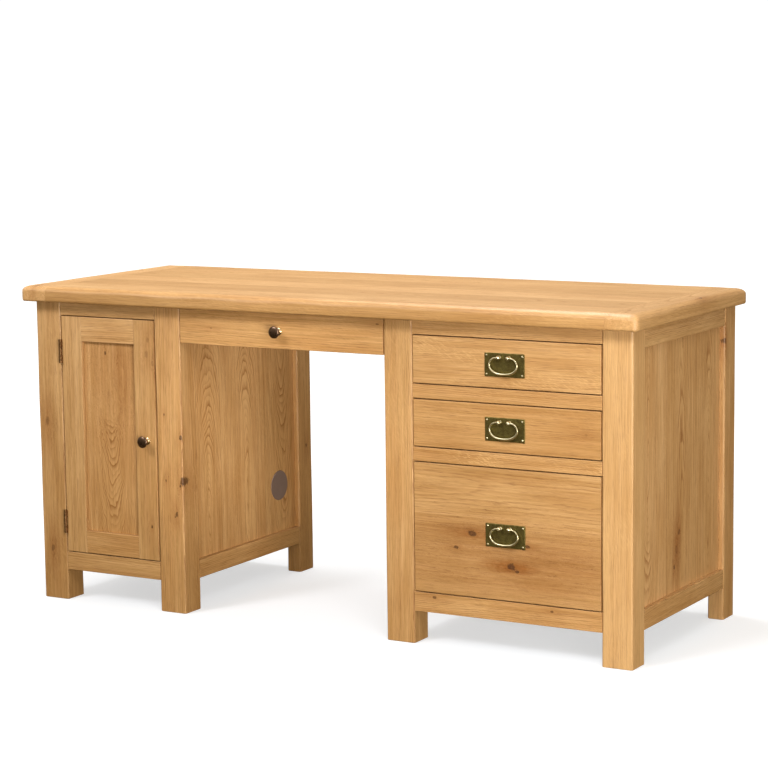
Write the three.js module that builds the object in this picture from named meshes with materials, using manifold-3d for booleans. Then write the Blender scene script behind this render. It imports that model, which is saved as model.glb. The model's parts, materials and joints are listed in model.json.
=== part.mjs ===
// Twin-pedestal oak computer desk: a cupboard on the left, three drawers on the right and a
// pull-out keyboard tray with a drop front between them. Millimetres, +X to the right of
// somebody sitting at the desk's front, +Y to the back, +Z up, floor at Z = 0.
import * as THREE from 'three';
import Module from 'manifold-3d';
import { mergeVertices } from 'three/addons/utils/BufferGeometryUtils.js';

const wasm = await Module();
wasm.setup();

// ---- overall -------------------------------------------------------------------------
const deskW = 1640;              // across the desktop
const deskD = 634;               // front to back over the desktop
const deskH = 780;
const topT = 38;                 // desktop thickness
const overSide = 23;             // desktop past the legs at each end
const overFront = 31;
const overBack = 15;
const breadboard = 76;           // width of each cross-grain end board
const topRound = 16;             // worn upper edge of the desktop
const topCorner = 9;             // plan radius at the desktop's corners

const carW = deskW - 2 * overSide;             // outside of the legs, left to right
const carD = deskD - overFront - overBack;     // outside of the legs, front to back
const L = -carW / 2;                           // left face of the cupboard
const R = carW / 2;                            // right face of the drawer pedestal
const F = -deskD / 2 + overFront;              // front face of the legs
const B = F + carD;                            // rear face of the legs
const H = deskH - topT;                        // underside of the desktop

// ---- pedestals -----------------------------------------------------------------------
const cupW = 425;                // cupboard pedestal
const pedW = 612;                // drawer pedestal
const legW = 73;                 // front legs, left to right
const legD = 65;                 // every leg, front to back
const rearLegW = 40;
const railZ = 76;                // lower edge of the bottom rails
const railH = 45;                // bottom rails and side top rails
const frontTopRail = 33;         // rail over the door and over the top drawer
const step = 1;                  // rails stand back from the leg faces by this
const recess = 13;               // side panels stand back by this
const panelT = 12;
const railT = recess + panelT;   // inner faces of rails and panels are level
const frontRailT = 22;
const backT = 10;
const backIn = 10;               // back panels stand in from the rear legs' faces
const floorT = 15;
const ease = 1.2;                // eased long edges of legs and rails

const cableHole = { d: 70, y: F + 447, z: 241 };

// ---- door ----------------------------------------------------------------------------
const gap = 1.8;                 // round the door, the drawer fronts and the tray front
const frontT = 20;               // thickness of every inset front
const openZ0 = railZ + railH;    // door and drawer openings, bottom
const openZ1 = H - frontTopRail; // door and drawer openings, top
const stileW = 60;
const doorTopRail = 60;
const doorBottomRail = 56;
const doorPanelIn = 8;           // the panel's face behind the stiles
const doorPanelT = 8;
const knobDoorX = L + 324;

// ---- hinges --------------------------------------------------------------------------
const hingeH = 58;
const barrelR = 3.8;
const pinR = 1.7;
const turnGap = 0.3;             // between the turning surfaces of a hinge
const leafT = 0.7;
const leafIn = 18;               // how far a leaf reaches in along the door's edge
const hingeX = L + legW + gap / 2;
const hingeY = F - barrelR - 0.4;
const hingeZ = { upper: 620.5, lower: 197.5 };

// ---- drawers -------------------------------------------------------------------------
const dividerH = 32;             // rails between the drawers
const openings = [               // top drawer first; side is the height of the drawer box
  { n: 1, z0: 597, z1: openZ1, side: 88 },
  { n: 2, z0: 454, z1: 597 - dividerH, side: 88 },
  { n: 3, z0: openZ0, z1: 454 - dividerH, side: 252 },
];
const boxGap = 4.5;              // drawer box to leg, each side
const boxLen = 500;
const wallT = 12;                // drawer and tray sides
const bottomT = 6;               // drawer bottoms
const bottomUp = 8;              // drawer bottoms above the lower edges of the sides
const slideGap = 0.3;            // sliding clearance over a runner
const runnerW = 34;              // wooden runner under each drawer side
const runnerT = 20;
const rearRail = 30;             // rear rail of a web frame, front to back

// ---- bail handles --------------------------------------------------------------------
const plateW = 98;
const plateH = 53;
const plateT = 2.2;
const handleDrop = 2;            // plates sit slightly under the middle of the fronts
const postGap = 24;              // between the two ball posts
const postUp = 16.5;             // posts above the middle of the plate
const postR = 3;
const ballR = 5;
const pinIn = 5.5;               // dome-headed pins in from the plate's corners
const pinHeadR = 2.4;
const bailOut = 7;               // bail pivot in front of the plate
const bailR = 2.2;
const boreR = 2.5;

// ---- keyboard tray -------------------------------------------------------------------
const trayZ = 657;               // lower edge of the tray front
const trayTopGap = 3;            // tray front to desktop
const boardT = 14;
const trayLen = 400;
const traySideH = 66;
const slideW = 12;               // metal side runners
const slideH = 35;
const slideLen = 380;
const slideWall = 1.6;
const flapPivot = { y: F + frontT + 1.2, z: trayZ + 1.2 };
const pivotR = 2.5;
const stripT = 1.2;              // hinge strip under the tray
const stripIn = 20;              // the strip's ends in from the tray's sides

const oak = new THREE.MeshStandardMaterial({ color: 0xd9a561, roughness: 0.5, metalness: 0 });
const pale = new THREE.MeshStandardMaterial({ color: 0xdcb98a, roughness: 0.6, metalness: 0 });
const antique = new THREE.MeshStandardMaterial({ color: 0x6e5a2c, roughness: 0.45, metalness: 0.8 });
const brass = new THREE.MeshStandardMaterial({ color: 0xb9a878, roughness: 0.3, metalness: 0.9 });
const bronze = new THREE.MeshStandardMaterial({ color: 0x4b4036, roughness: 0.45, metalness: 0.8 });
const steel = new THREE.MeshStandardMaterial({ color: 0xb4b6b8, roughness: 0.35, metalness: 0.9 });

const desk = new THREE.Group();
desk.name = 'computer_desk';

// ---- shapes --------------------------------------------------------------------------
// Every shape is a mesh placed in the desk's frame. X, Y and Z are axes 0, 1 and 2.
function place(geometry, x, y, z) {
  const mesh = new THREE.Mesh(geometry);
  mesh.position.set(x, y, z);
  return mesh;
}

function block(x0, x1, y0, y1, z0, z1) {
  return place(new THREE.BoxGeometry(x1 - x0, y1 - y0, z1 - z0),
    (x0 + x1) / 2, (y0 + y1) / 2, (z0 + z1) / 2);
}

// A section drawn round the origin, drawn out to `length` along `axis`. Its own x and y become
// y and z on axis 0, x and z on axis 1, x and y on axis 2.
function extrude(section, axis, length, curveSegments = 5) {
  const geometry = new THREE.ExtrudeGeometry(section, { depth: length, bevelEnabled: false,
    curveSegments });
  geometry.translate(0, 0, -length / 2);
  if (axis === 1) geometry.rotateX(Math.PI / 2);
  if (axis === 0) geometry.rotateX(Math.PI / 2).rotateZ(Math.PI / 2);
  return geometry;
}

// A plank whose four edges along `axis` are eased by `c`.
function plank(x0, x1, y0, y1, z0, z1, axis, c = ease) {
  const size = [x1 - x0, y1 - y0, z1 - z0];
  const [w, h] = size.filter((_, k) => k !== axis).map((s) => s / 2);
  const section = new THREE.Shape([[w - c, -h], [w, c - h], [w, h - c], [w - c, h], [c - w, h],
    [-w, h - c], [-w, c - h], [c - w, -h]].map(([u, v]) => new THREE.Vector2(u, v)));
  return place(extrude(section, axis, size[axis]), (x0 + x1) / 2, (y0 + y1) / 2, (z0 + z1) / 2);
}

// A round bar along `axis`; `at` holds its other two coordinates.
function rod(axis, at, from, to, r, seg = 24) {
  const geometry = new THREE.CylinderGeometry(r, r, to - from, seg);
  if (axis === 0) geometry.rotateZ(-Math.PI / 2);
  if (axis === 2) geometry.rotateX(Math.PI / 2);
  const middle = [...at];
  middle.splice(axis, 0, (from + to) / 2);
  return place(geometry, ...middle);
}

function ball(x, y, z, r, seg = 20) {
  return place(new THREE.SphereGeometry(r, seg, seg / 2), x, y, z);
}

// ---- cutting and joining -------------------------------------------------------------
// A mesh becomes a solid in the desk's frame, its corners on a 0.001 mm grid so that faces
// meant to be flush are flush.
function solid(shape) {
  if (!shape.isMesh) return shape;
  shape.updateMatrix();
  const plain = shape.geometry.clone().applyMatrix4(shape.matrix);
  plain.deleteAttribute('normal');
  plain.deleteAttribute('uv');
  const welded = mergeVertices(plain, 1e-4);
  return new wasm.Manifold(new wasm.Mesh({
    numProp: 3,
    vertProperties: Float32Array.from(welded.attributes.position.array,
      (v) => Math.round(v * 1e3) / 1e3),
    triVerts: new Uint32Array(welded.index.array),
  }));
}

const join = (...shapes) => shapes.map(solid).reduce((a, b) => a.add(b));
const cut = (body, ...tools) => tools.map(solid).reduce((a, b) => a.subtract(b), solid(body));
const common = (...shapes) => shapes.map(solid).reduce((a, b) => a.intersect(b));

// A cut or joined solid goes back to a mesh with its origin in its middle, without the spare
// points that a cut leaves on flat faces.
function toMesh(body) {
  const { vertProperties, triVerts } = body.asOriginal().simplify(0.001).getMesh();
  const indexed = new THREE.BufferGeometry();
  indexed.setAttribute('position', new THREE.BufferAttribute(new Float32Array(vertProperties), 3));
  indexed.setIndex(new THREE.BufferAttribute(new Uint32Array(triVerts), 1));
  const geometry = indexed.toNonIndexed();
  geometry.computeBoundingBox();
  const middle = geometry.boundingBox.getCenter(new THREE.Vector3());
  geometry.translate(-middle.x, -middle.y, -middle.z);
  geometry.computeVertexNormals();
  return place(geometry, ...middle);
}

// Each unit of the desk is a group, and a piece keeps its place when it joins its unit.
function unit(parent, x, y, z) {
  const group = new THREE.Group();
  group.position.set(x, y, z);
  parent.attach(group);
  return group;
}

function add(parent, name, shape, material) {
  const mesh = shape.isMesh ? shape : toMesh(shape);
  mesh.name = name;
  mesh.material = material;
  parent.attach(mesh);
}

// ---- desktop -------------------------------------------------------------------------
// The desktop seen end on: lower edges eased, upper edges rounded.
function topSection(width) {
  const w = width / 2;
  const h = topT / 2;
  const section = new THREE.Shape();
  section.moveTo(1 - w, -h);
  section.lineTo(w - 1, -h);
  section.lineTo(w, 1 - h);
  section.absarc(w - topRound, h - topRound, topRound, 0, Math.PI / 2);
  section.absarc(topRound - w, h - topRound, topRound, Math.PI / 2, Math.PI);
  section.lineTo(-w, 1 - h);
  return section;
}

// The desktop seen from above.
function topPlan() {
  const w = deskW / 2 - topCorner;
  const d = deskD / 2 - topCorner;
  const plan = new THREE.Shape();
  for (const [k, [sx, sy]] of [[1, 1], [-1, 1], [-1, -1], [1, -1]].entries()) {
    plan.absarc(sx * w, sy * d, topCorner, k * Math.PI / 2, (k + 1) * Math.PI / 2);
  }
  return plan;
}

const top = unit(desk, 0, 0, H);
const slab = common(...[
  extrude(topSection(deskD), 0, deskW),
  extrude(topSection(deskW), 1, deskD),
  extrude(topPlan(), 2, topT),
].map((geometry) => place(geometry, 0, 0, H + topT / 2)));
const joint = deskW / 2 - breadboard;
const over = deskW;
const sawn = (x0, x1) => common(slab, block(x0, x1, -over, over, 0, over));
add(top, 'top_field_board', sawn(-joint, joint), oak);
add(top, 'top_end_left', sawn(-over, -joint), oak);
add(top, 'top_end_right', sawn(joint, over), oak);

// ---- pedestal carcasses --------------------------------------------------------------
// side = -1 when the outer side is on the left, +1 when it is on the right.
function carcass(prefix, x0, width, side) {
  const frame = unit(desk, x0, F, 0);
  const x1 = x0 + width;
  const ends = [
    { tag: side < 0 ? 'outer' : 'inner', from: x0, dir: 1 },
    { tag: side < 0 ? 'inner' : 'outer', from: x1, dir: -1 },
  ];
  for (const { tag, from, dir } of ends) {
    const span = (a, b) => (dir > 0 ? [from + a, from + b] : [from - b, from - a]);
    add(frame, `${prefix}_leg_front_${tag}`,
      plank(...span(0, legW), F, F + legD, 0, H, 2, 2), oak);
    add(frame, `${prefix}_leg_rear_${tag}`,
      plank(...span(0, rearLegW), B - legD, B, 0, H, 2, 2), oak);
    const rail = span(step, railT);
    const y0 = F + legD;
    const y1 = B - legD;
    add(frame, `${prefix}_${tag}_rail_top`, plank(...rail, y0, y1, H - railH, H, 1), oak);
    add(frame, `${prefix}_${tag}_rail_bottom`,
      plank(...rail, y0, y1, railZ, railZ + railH, 1), oak);
    let panel = block(...span(recess, railT), y0, y1, railZ + railH, H - railH);
    if (prefix === 'cupboard' && tag === 'inner') {
      panel = cut(panel, rod(0, [cableHole.y, cableHole.z], x0, x1, cableHole.d / 2, 48));
    }
    add(frame, `${prefix}_${tag}_panel`, panel, oak);
  }
  add(frame, `${prefix}_front_rail_top`,
    plank(x0 + legW, x1 - legW, F + step, F + frontRailT, openZ1, H, 0), oak);
  add(frame, `${prefix}_back_panel`,
    block(x0 + rearLegW, x1 - rearLegW, B - backIn - backT, B - backIn, railZ, H), pale);
  return frame;
}

const cupboard = carcass('cupboard', L, cupW, -1);
const pedestal = carcass('pedestal', R - pedW, pedW, 1);

const backFace = B - backIn - backT;           // inner face of the back panels
const cupR = L + cupW;
add(cupboard, 'cupboard_front_rail_bottom',
  plank(L + legW, cupR - legW, F + step, F + frontRailT, railZ, openZ0, 0), oak);

// The floor is notched round the four legs.
const floorZ = openZ0 - floorT;
add(cupboard, 'cupboard_floor', cut(
  block(L + railT, cupR - railT, F + frontRailT, backFace, floorZ, openZ0),
  block(L, L + legW, F, F + legD, 0, H),
  block(cupR - legW, cupR, F, F + legD, 0, H),
  block(L, L + rearLegW, B - legD, B, 0, H),
  block(cupR - rearLegW, cupR, B - legD, B, 0, H),
), pale);

// ---- door ----------------------------------------------------------------------------
const doorX0 = L + legW + gap;
const doorX1 = cupR - legW - gap;
const doorZ0 = openZ0 + gap;
const doorZ1 = openZ1 - gap;
const panelX0 = doorX0 + stileW;
const panelX1 = doorX1 - stileW;
const panelZ0 = doorZ0 + doorBottomRail;
const panelZ1 = doorZ1 - doorTopRail;
const door = unit(cupboard, hingeX, hingeY, doorZ0);
add(door, 'door_stile_hinge', plank(doorX0, panelX0, F, F + frontT, doorZ0, doorZ1, 2), oak);
add(door, 'door_stile_knob', plank(panelX1, doorX1, F, F + frontT, doorZ0, doorZ1, 2), oak);
add(door, 'door_rail_top', plank(panelX0, panelX1, F, F + frontT, panelZ1, doorZ1, 0), oak);
add(door, 'door_rail_bottom', plank(panelX0, panelX1, F, F + frontT, doorZ0, panelZ0, 0), oak);
add(door, 'door_panel', block(panelX0, panelX1, F + doorPanelIn, F + doorPanelIn + doorPanelT,
  panelZ0, panelZ1), oak);

// Turned knob: rosette, waisted neck and a shallow domed head, screwed on from behind.
function knob(parent, name, x, z) {
  const outline = [[0, 0], [9, 0], [9, 1.6], [6.2, 3], [4.6, 6], [4.4, 11], [6, 15], [10.5, 18.2],
    [13.4, 19.4], [14.2, 20.8], [13.8, 22.3], [10.5, 24.2], [5, 25], [0, 25.2]];
  const lathe = new THREE.LatheGeometry(outline.map(([r, y]) => new THREE.Vector2(r, y)), 32);
  lathe.rotateX(Math.PI);
  add(parent, name, place(lathe, x, F, z), bronze);
}
knob(door, 'door_knob', knobDoorX, (openZ0 + openZ1) / 2);

// Butt hinges with the barrel proud of the front. The frame leaf carries the middle knuckle,
// the door leaf carries the outer knuckles and the pin.
for (const [tag, z] of Object.entries(hingeZ)) {
  const zLow = z - hingeH / 2;
  const zHigh = z + hingeH / 2;
  const a = z - hingeH / 6;
  const b = z + hingeH / 6;
  const at = [hingeX, hingeY];
  const frameLeaf = cut(
    join(
      cut(block(L + legW, L + legW + leafT, hingeY, F + leafIn, zLow, zHigh),
        rod(2, at, zLow - 1, a, barrelR + turnGap),
        rod(2, at, b, zHigh + 1, barrelR + turnGap)),
      rod(2, at, a + turnGap / 2, b - turnGap / 2, barrelR),
    ),
    rod(2, at, zLow - 1, zHigh + 1, pinR + turnGap),
  );
  add(cupboard, `hinge_${tag}_frame_leaf`, frameLeaf, bronze);
  const doorLeaf = join(
    cut(block(doorX0 - leafT, doorX0, hingeY, F + leafIn, zLow, zHigh),
      rod(2, at, a - turnGap / 2, b + turnGap / 2, barrelR + turnGap)),
    rod(2, at, zLow, a - turnGap / 2, barrelR),
    rod(2, at, b + turnGap / 2, zHigh, barrelR),
    rod(2, at, zLow, zHigh, pinR),
  );
  add(door, `hinge_${tag}_door_leaf`, doorLeaf, bronze);
}

// ---- drawers -------------------------------------------------------------------------
const pedL = R - pedW;
const openX0 = pedL + legW;
const openX1 = R - legW;
const midX = (openX0 + openX1) / 2;

// A web frame: the rail seen at the front, a runner under each drawer side and a rear rail
// that reaches the rear legs.
function webFrame(name, zTop, frontH) {
  const z0 = zTop - runnerT;
  add(pedestal, name, join(
    plank(openX0, openX1, F + step, F + frontRailT, zTop - frontH, zTop, 0),
    block(openX0, openX0 + runnerW, F + frontRailT - 2, backFace, z0, zTop),
    block(openX1 - runnerW, openX1, F + frontRailT - 2, backFace, z0, zTop),
    block(pedL + rearLegW, R - rearLegW, backFace - rearRail, backFace, z0, zTop),
  ), oak);
}
webFrame('drawer_frame_upper', openings[0].z0, dividerH);
webFrame('drawer_frame_lower', openings[1].z0, dividerH);
webFrame('drawer_frame_bottom', openings[2].z0, railH);

function bailPath() {
  const half = [[postGap / 2 + 1, 0], [20, -0.2], [27.5, -3], [33, -9.5], [34, -17.5], [29, -28],
    [18, -34.5], [7, -36]];
  const pts = [...half.map(([x, z]) => [-x, z]), ...half.reverse()];
  return new THREE.CatmullRomCurve3(pts.map(([x, z]) => new THREE.Vector3(x, 0, z)), false,
    'catmullrom', 0.5);
}

for (const { n, z0, z1, side } of openings) {
  const drawer = unit(pedestal, midX, F, z0);
  add(drawer, `drawer_${n}_front`,
    plank(openX0 + gap, openX1 - gap, F, F + frontT, z0 + gap, z1 - gap, 0), oak);

  const x0 = openX0 + boxGap;
  const x1 = openX1 - boxGap;
  const y0 = F + frontT;
  const y1 = y0 + boxLen;
  const base = z0 + slideGap;
  const bottom = base + bottomUp;
  add(drawer, `drawer_${n}_box`, cut(
    block(x0, x1, y0, y1, base, base + side),
    block(x0 + wallT, x1 - wallT, y0 - 1, y1 - wallT, bottom + bottomT, base + side + 1),
    block(x0 + wallT, x1 - wallT, y0 - 1, y1 + 1, base - 1, bottom),
  ), pale);

  const zc = (z0 + z1) / 2 - handleDrop;
  const pivotZ = zc + postUp;
  const pivotY = F - plateT - bailOut;
  const fittings = [-1, 1].flatMap((sx) => [
    rod(1, [midX + sx * postGap / 2, pivotZ], pivotY, F - plateT / 2, postR),
    ball(midX + sx * postGap / 2, pivotY, pivotZ, ballR),
    ...[-1, 1].map((sz) => ball(midX + sx * (plateW / 2 - pinIn), F - plateT,
      zc + sz * (plateH / 2 - pinIn), pinHeadR, 16)),
  ]);
  const plate = plank(midX - plateW / 2, midX + plateW / 2, F - plateT, F,
    zc - plateH / 2, zc + plateH / 2, 1, 1.5);
  add(drawer, `drawer_${n}_plate`, cut(
    join(plate, ...fittings),
    block(midX - plateW, midX + plateW, F, F + 10, z0, z1),
    rod(0, [pivotY, pivotZ], midX - postGap, midX + postGap, boreR),
  ), antique);

  const ring = new THREE.Shape();
  ring.absarc(0, 0, bailR, 0, Math.PI * 2);
  const wire = new THREE.ExtrudeGeometry(ring, { steps: 44, extrudePath: bailPath(),
    curveSegments: 10 });
  const bail = unit(drawer, midX, pivotY, pivotZ);
  add(bail, `drawer_${n}_bail`, place(wire, midX, pivotY, pivotZ), brass);
}

// ---- keyboard tray -------------------------------------------------------------------
const kneeX0 = cupR;
const kneeX1 = pedL;
const trayX0 = kneeX0 + step + slideW + slideGap;
const trayX1 = kneeX1 - step - slideW - slideGap;
const trayY0 = F + frontT + 2;
const trayBase = trayZ + 5;
const tray = unit(desk, (kneeX0 + kneeX1) / 2, F, trayZ);
add(tray, 'tray_board', cut(
  block(trayX0, trayX1, trayY0, trayY0 + trayLen, trayBase, trayBase + traySideH),
  block(trayX0 + wallT, trayX1 - wallT, trayY0 - 1, trayY0 + trayLen - wallT,
    trayBase + boardT, H),
), pale);

// The drop front turns down about its lower rear edge, which is rebated round the hinge.
const flapX0 = kneeX0 + gap;
const flapX1 = kneeX1 - gap;
const flap = unit(tray, (kneeX0 + kneeX1) / 2, flapPivot.y, flapPivot.z);
add(flap, 'tray_flap', cut(
  plank(flapX0, flapX1, F, F + frontT, trayZ, H - trayTopGap, 0),
  rod(0, [flapPivot.y, flapPivot.z], flapX0 - 1, flapX1 + 1, pivotR + 0.5),
), oak);
knob(flap, 'tray_knob', (kneeX0 + kneeX1) / 2, (trayZ + H - trayTopGap) / 2);

const strip = [trayX0 + stripIn, trayX1 - stripIn];
add(tray, 'tray_flap_hinge', join(
  block(...strip, flapPivot.y, trayY0 + stripIn, trayBase - stripT, trayBase),
  block(...strip, flapPivot.y, flapPivot.y + stripT, flapPivot.z, trayBase),
  rod(0, [flapPivot.y, flapPivot.z], ...strip, pivotR),
), steel);

for (const [tag, x, dir] of [['left', kneeX0 - step, 1], ['right', kneeX1 + step, -1]]) {
  const span = (a, b) => (dir > 0 ? [x + a, x + b] : [x - b, x - a]);
  const z0 = H - railH + 5;
  const y0 = F + legD;
  add(dir > 0 ? cupboard : pedestal, `tray_runner_${tag}`, cut(
    block(...span(0, slideW), y0, y0 + slideLen, z0, z0 + slideH),
    block(...span(slideWall, slideW + 1), y0 - 1, y0 + slideLen + 1,
      z0 + slideWall, z0 + slideH - slideWall),
  ), steel);
}

export default desk;
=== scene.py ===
"""Looks of the twin-pedestal oak desk: cupboard left, drawers right, keyboard tray between.

Metres: +X right, +Y back, +Z up, floor at Z = 0. Every board is lofted afresh inside the box of the
plain board that it stands for, so that its edges are softened and worn, and gets its own oak: a
solid figure of growth rings round a pith of its own, with pores, ray fleck and knots.
"""

import itertools
import json
import random
from math import atan2, cos, exp, hypot, pi, radians, sin, sqrt

import bmesh
import bpy
from mathutils import Matrix, Vector


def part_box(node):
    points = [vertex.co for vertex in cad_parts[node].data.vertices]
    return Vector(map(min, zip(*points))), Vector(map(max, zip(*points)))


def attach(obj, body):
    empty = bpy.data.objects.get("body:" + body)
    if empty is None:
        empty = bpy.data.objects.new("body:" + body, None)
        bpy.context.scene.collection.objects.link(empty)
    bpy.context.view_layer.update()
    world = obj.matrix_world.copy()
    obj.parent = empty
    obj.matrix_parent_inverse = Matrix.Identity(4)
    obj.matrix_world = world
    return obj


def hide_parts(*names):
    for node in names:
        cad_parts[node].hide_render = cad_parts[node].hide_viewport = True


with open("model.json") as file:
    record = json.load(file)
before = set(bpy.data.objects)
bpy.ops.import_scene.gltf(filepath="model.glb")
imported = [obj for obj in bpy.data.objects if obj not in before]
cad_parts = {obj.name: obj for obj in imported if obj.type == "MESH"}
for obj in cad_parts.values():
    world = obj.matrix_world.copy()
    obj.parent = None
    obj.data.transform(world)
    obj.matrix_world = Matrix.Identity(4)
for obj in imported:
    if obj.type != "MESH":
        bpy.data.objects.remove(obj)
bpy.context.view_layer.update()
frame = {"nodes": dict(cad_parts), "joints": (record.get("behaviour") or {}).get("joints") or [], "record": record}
body_of_node = {n: b for b, ns in frame["record"]["behaviour"]["bodies"].items() for n in ns}
pivots = {j["child"]: Vector(j["pos_m"]) for j in frame["joints"] if "pos_m" in j}

MM = 0.001
X, Y, Z = 0, 1, 2
# The two axes across each grain direction, in cyclic order.
ACROSS = {X: (Y, Z), Y: (Z, X), Z: (X, Y)}


# ---- node trees
class Net:
    """Short calls for building a node tree; numbers and sockets can be mixed freely."""

    def __init__(self, tree):
        self.tree = tree

    def put(self, socket, value):
        if isinstance(value, bpy.types.NodeSocket):
            self.tree.links.new(value, socket)
        elif value is not None:
            socket.default_value = value

    def node(self, kind, *values, **settings):
        """A new shader node, with values for its first inputs."""
        made = self.tree.nodes.new("ShaderNode" + kind)
        for key, value in settings.items():
            setattr(made, key, value)
        for socket, value in zip(made.inputs, values):
            self.put(socket, value)
        return made

    def use(self, tree, **values):
        """A node group at work, with its inputs filled in."""
        made = self.node("Group", node_tree=tree)
        for label, value in values.items():
            self.put(made.inputs[label], value)
        return made.outputs

    def math(self, operation, a, b=None, c=None, clamp=False):
        made = self.node("Math", a, b, c, operation=operation, use_clamp=clamp)
        return made.outputs[0]

    def times(self, a, b, clamp=False):
        return self.math("MULTIPLY", a, b, clamp=clamp)

    def linear(self, a, slope, start):
        return self.math("MULTIPLY_ADD", a, slope, start)

    def most(self, a, b):
        """The larger of a and b, where a may still be None."""
        return b if a is None else self.math("MAXIMUM", a, b)

    def vector(self, operation, a, b=None, scale=None):
        made = self.node("VectorMath", a, b, operation=operation)
        if scale is not None:
            self.put(made.inputs["Scale"], scale)
        return made.outputs["Value" if operation in ("LENGTH", "DOT_PRODUCT") else 0]

    def split(self, a):
        return self.node("SeparateXYZ", a).outputs

    def join(self, x, y, z):
        return self.node("CombineXYZ", x, y, z).outputs[0]

    def noise(self, point, stretch, detail=2.0, roughness=0.5, output="Fac"):
        """Noise with `stretch` lumps to the metre, the same each way or not."""
        if isinstance(stretch, float):
            stretch = (stretch, stretch, stretch)
        made = self.node("TexNoise", self.vector("MULTIPLY", point, stretch))
        for label, value in (("Scale", 1.0), ("Detail", detail), ("Roughness", roughness)):
            self.put(made.inputs[label], value)
        return made.outputs[output]

    def strayed(self, point, base, stretch, reach):
        """The vector `base`, moved by noise at `point` by up to half of `reach` each way."""
        stray = self.noise(point, stretch, output="Color")
        stray = self.vector("SUBTRACT", stray, (0.5, 0.5, 0.5))
        return self.vector("ADD", base, self.vector("SCALE", stray, scale=reach))

    def ramp(self, value, stops, interpolation="EASE"):
        made = self.node("ValToRGB", value)
        made.color_ramp.interpolation = interpolation
        points = made.color_ramp.elements
        while len(points) < len(stops):
            points.new(0.5)
        for point, (at, level) in zip(points, stops):
            point.position = at
            point.color = (level, level, level, 1)
        return made.outputs[0]

    def mix(self, amount, a, b, mode="MIX"):
        made = self.node("Mix", amount, data_type="RGBA", blend_type=mode)
        for socket, value in ((made.inputs[6], a), (made.inputs[7], b)):
            self.put(socket, (*value, 1) if isinstance(value, tuple) else value)
        return made.outputs[2]


FLOAT, VECTOR, COLOR = "NodeSocketFloat", "NodeSocketVector", "NodeSocketColor"


def group(name, inputs, outputs):
    """A new node group, with its Net, its inputs by name and a function that sets an output."""
    tree = bpy.data.node_groups.new(name, "ShaderNodeTree")
    for side, sockets in (("INPUT", inputs), ("OUTPUT", outputs)):
        for kind, labels in sockets.items():
            for label in labels.split():
                tree.interface.new_socket(label, in_out=side, socket_type=kind)
    entry = tree.nodes.new("NodeGroupInput").outputs
    leave = tree.nodes.new("NodeGroupOutput").inputs
    return tree, Net(tree), entry, lambda label, socket: tree.links.new(socket, leave[label])


def knot_group():
    """Bends the grain round a knot, and says how dark the wood is there. Grain runs along Z."""
    tree, net, given, give = group(
        "knot", {VECTOR: "Point Surface Centre Mask", FLOAT: "Radius Core Push Stain"},
        {VECTOR: "Point", FLOAT: "Dark Stain"})
    surface, radius = given["Surface"], given["Radius"]
    away = net.vector("SUBTRACT", surface, given["Centre"])
    away = net.vector("MULTIPLY", away, given["Mask"])
    wobble = net.noise(surface, (170.0, 170.0, 85.0), 3.0, 0.65)
    far = net.math("DIVIDE", net.vector("LENGTH", away), radius)
    far = net.times(far, net.times(wobble, 2.0))
    fall = net.math("EXPONENT", net.times(net.times(far, far), -0.16))
    shove = net.times(net.times(fall, radius), given["Push"])
    direction = net.vector("NORMALIZE", net.vector("MULTIPLY", away, (1.0, 1.0, 0.35)))
    shove = net.vector("SCALE", direction, scale=shove)
    give("Point", net.vector("SUBTRACT", given["Point"], shove))
    core = net.ramp(far, [(0.0, 0.55), (0.35, 0.85), (0.6, 0.8), (0.82, 0.3), (1.0, 0.0)])
    split = net.noise(surface, (230.0, 230.0, 90.0), 1.0)
    split = net.math("ABSOLUTE", net.math("SUBTRACT", split, 0.5))
    split = net.times(net.ramp(split, [(0.02, 1.0), (0.06, 0.0)]),
                      net.ramp(far, [(0.7, 1.0), (1.0, 0.0)]))
    give("Dark", net.times(net.most(core, split), given["Core"], clamp=True))
    long = net.vector("DIVIDE", net.vector("MULTIPLY", away, (1.0, 1.0, 0.42)),
                      net.join(radius, radius, radius))
    long = net.math("EXPONENT", net.times(net.vector("DOT_PRODUCT", long, long), -0.12))
    smear = net.times(long, net.linear(wobble, 0.9, 0.55))
    give("Stain", net.times(smear, given["Stain"], clamp=True))
    return tree


# The ground of the oak, light and deep, each from its yellower to its redder shade.
LIGHT = (0.622, 0.376, 0.165), (0.618, 0.36, 0.149)
DEEP = (0.43, 0.214, 0.066), (0.438, 0.206, 0.059)
# What shows on the ground.
EARLYWOOD = (0.285, 0.11, 0.022)
PORE = (0.15, 0.052, 0.012)
RAY = (0.8, 0.505, 0.225)
# Paler wood; on the right-hand front leg it is also painted light.
PALE_WOOD_AND_PAINTED_LIGHT = (0.7, 0.445, 0.2)
HALO = (0.56, 0.375, 0.21)
KNOT_CORE = (0.075, 0.026, 0.007)


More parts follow.
